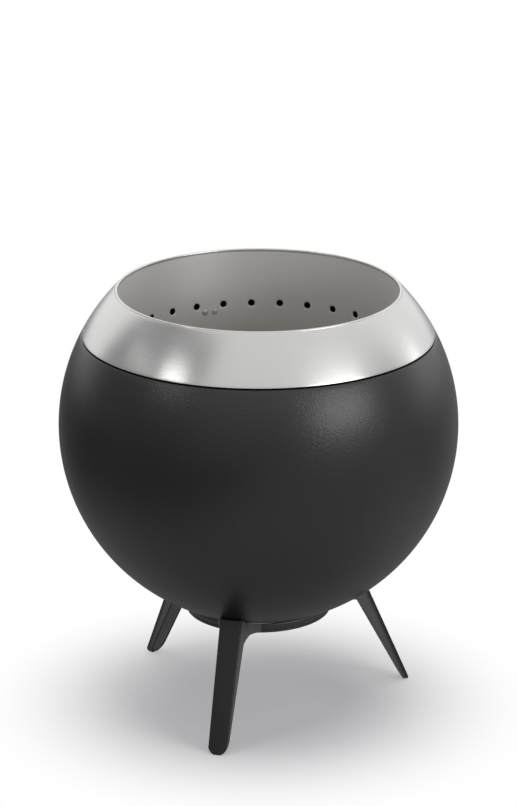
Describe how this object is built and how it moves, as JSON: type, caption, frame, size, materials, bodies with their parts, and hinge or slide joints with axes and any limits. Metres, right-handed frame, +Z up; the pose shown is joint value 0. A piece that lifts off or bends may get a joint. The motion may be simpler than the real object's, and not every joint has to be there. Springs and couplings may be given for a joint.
{
  "type": "brazier",
  "caption": "Ball-shaped double-walled fire bowl on tapered legs, with a stainless rim and lift-out fire chamber, grate and ash pan.",
  "frame": {"origin": "on the ground, below the ball's centre", "axes": "+Z up along the ball's upright axis, leg_1 points to -Y"},
  "size_m": [0.45, 0.45, 0.4891],
  "materials": {
    "enamel": "matt black high-temperature enamel",
    "black_coat": "matt black coated steel",
    "cast_coat": "black powder-coated casting",
    "screw_steel": "plain steel",
    "plain_steel": "aluminised sheet steel",
    "gasket": "black heat-proof gasket",
    "satin_stainless": "satin brushed stainless steel",
    "stainless_sheet": "stainless sheet",
    "chamber_stainless": "stainless sheet, dulled by heat",
    "grip_wire": "bent steel wire",
    "cast_iron": "bare cast iron"
  },
  "bodies": {
    "stand_and_bowl": {"bowl_shell": "enamel", "base_ring": "black_coat", "leg_1": "cast_coat", "leg_2": "cast_coat", "leg_3": "cast_coat", "leg_screws": "screw_steel", "leg_washers": "screw_steel", "heat_shield": "plain_steel", "seam_gasket": "gasket"},
    "rim_and_chamber": {"rim_ring": "satin_stainless", "seat_ring": "stainless_sheet", "chamber_wall": "chamber_stainless", "chamber_floor": "chamber_stainless", "chamber_bracket_1": "stainless_sheet", "chamber_bracket_2": "stainless_sheet", "chamber_bracket_3": "stainless_sheet", "bracket_rivets": "screw_steel"},
    "ash_pan": {"ash_pan": "plain_steel", "ash_pan_grip_1": "grip_wire", "ash_pan_grip_2": "grip_wire"},
    "grate": {"grate": "cast_iron"}
  },
  "joints": [
    {"name": "chamber_lift", "type": "slide", "parent": "stand_and_bowl", "child": "rim_and_chamber", "axis": [0, 0, 1], "range_m": [0, 0.34]},
    {"name": "ash_pan_lift", "type": "slide", "parent": "rim_and_chamber", "child": "ash_pan", "axis": [0, 0, 1], "range_m": [0, 0.38]},
    {"name": "grate_lift", "type": "slide", "parent": "ash_pan", "child": "grate", "axis": [0, 0, 1], "range_m": [0, 0.32]}
  ]
}
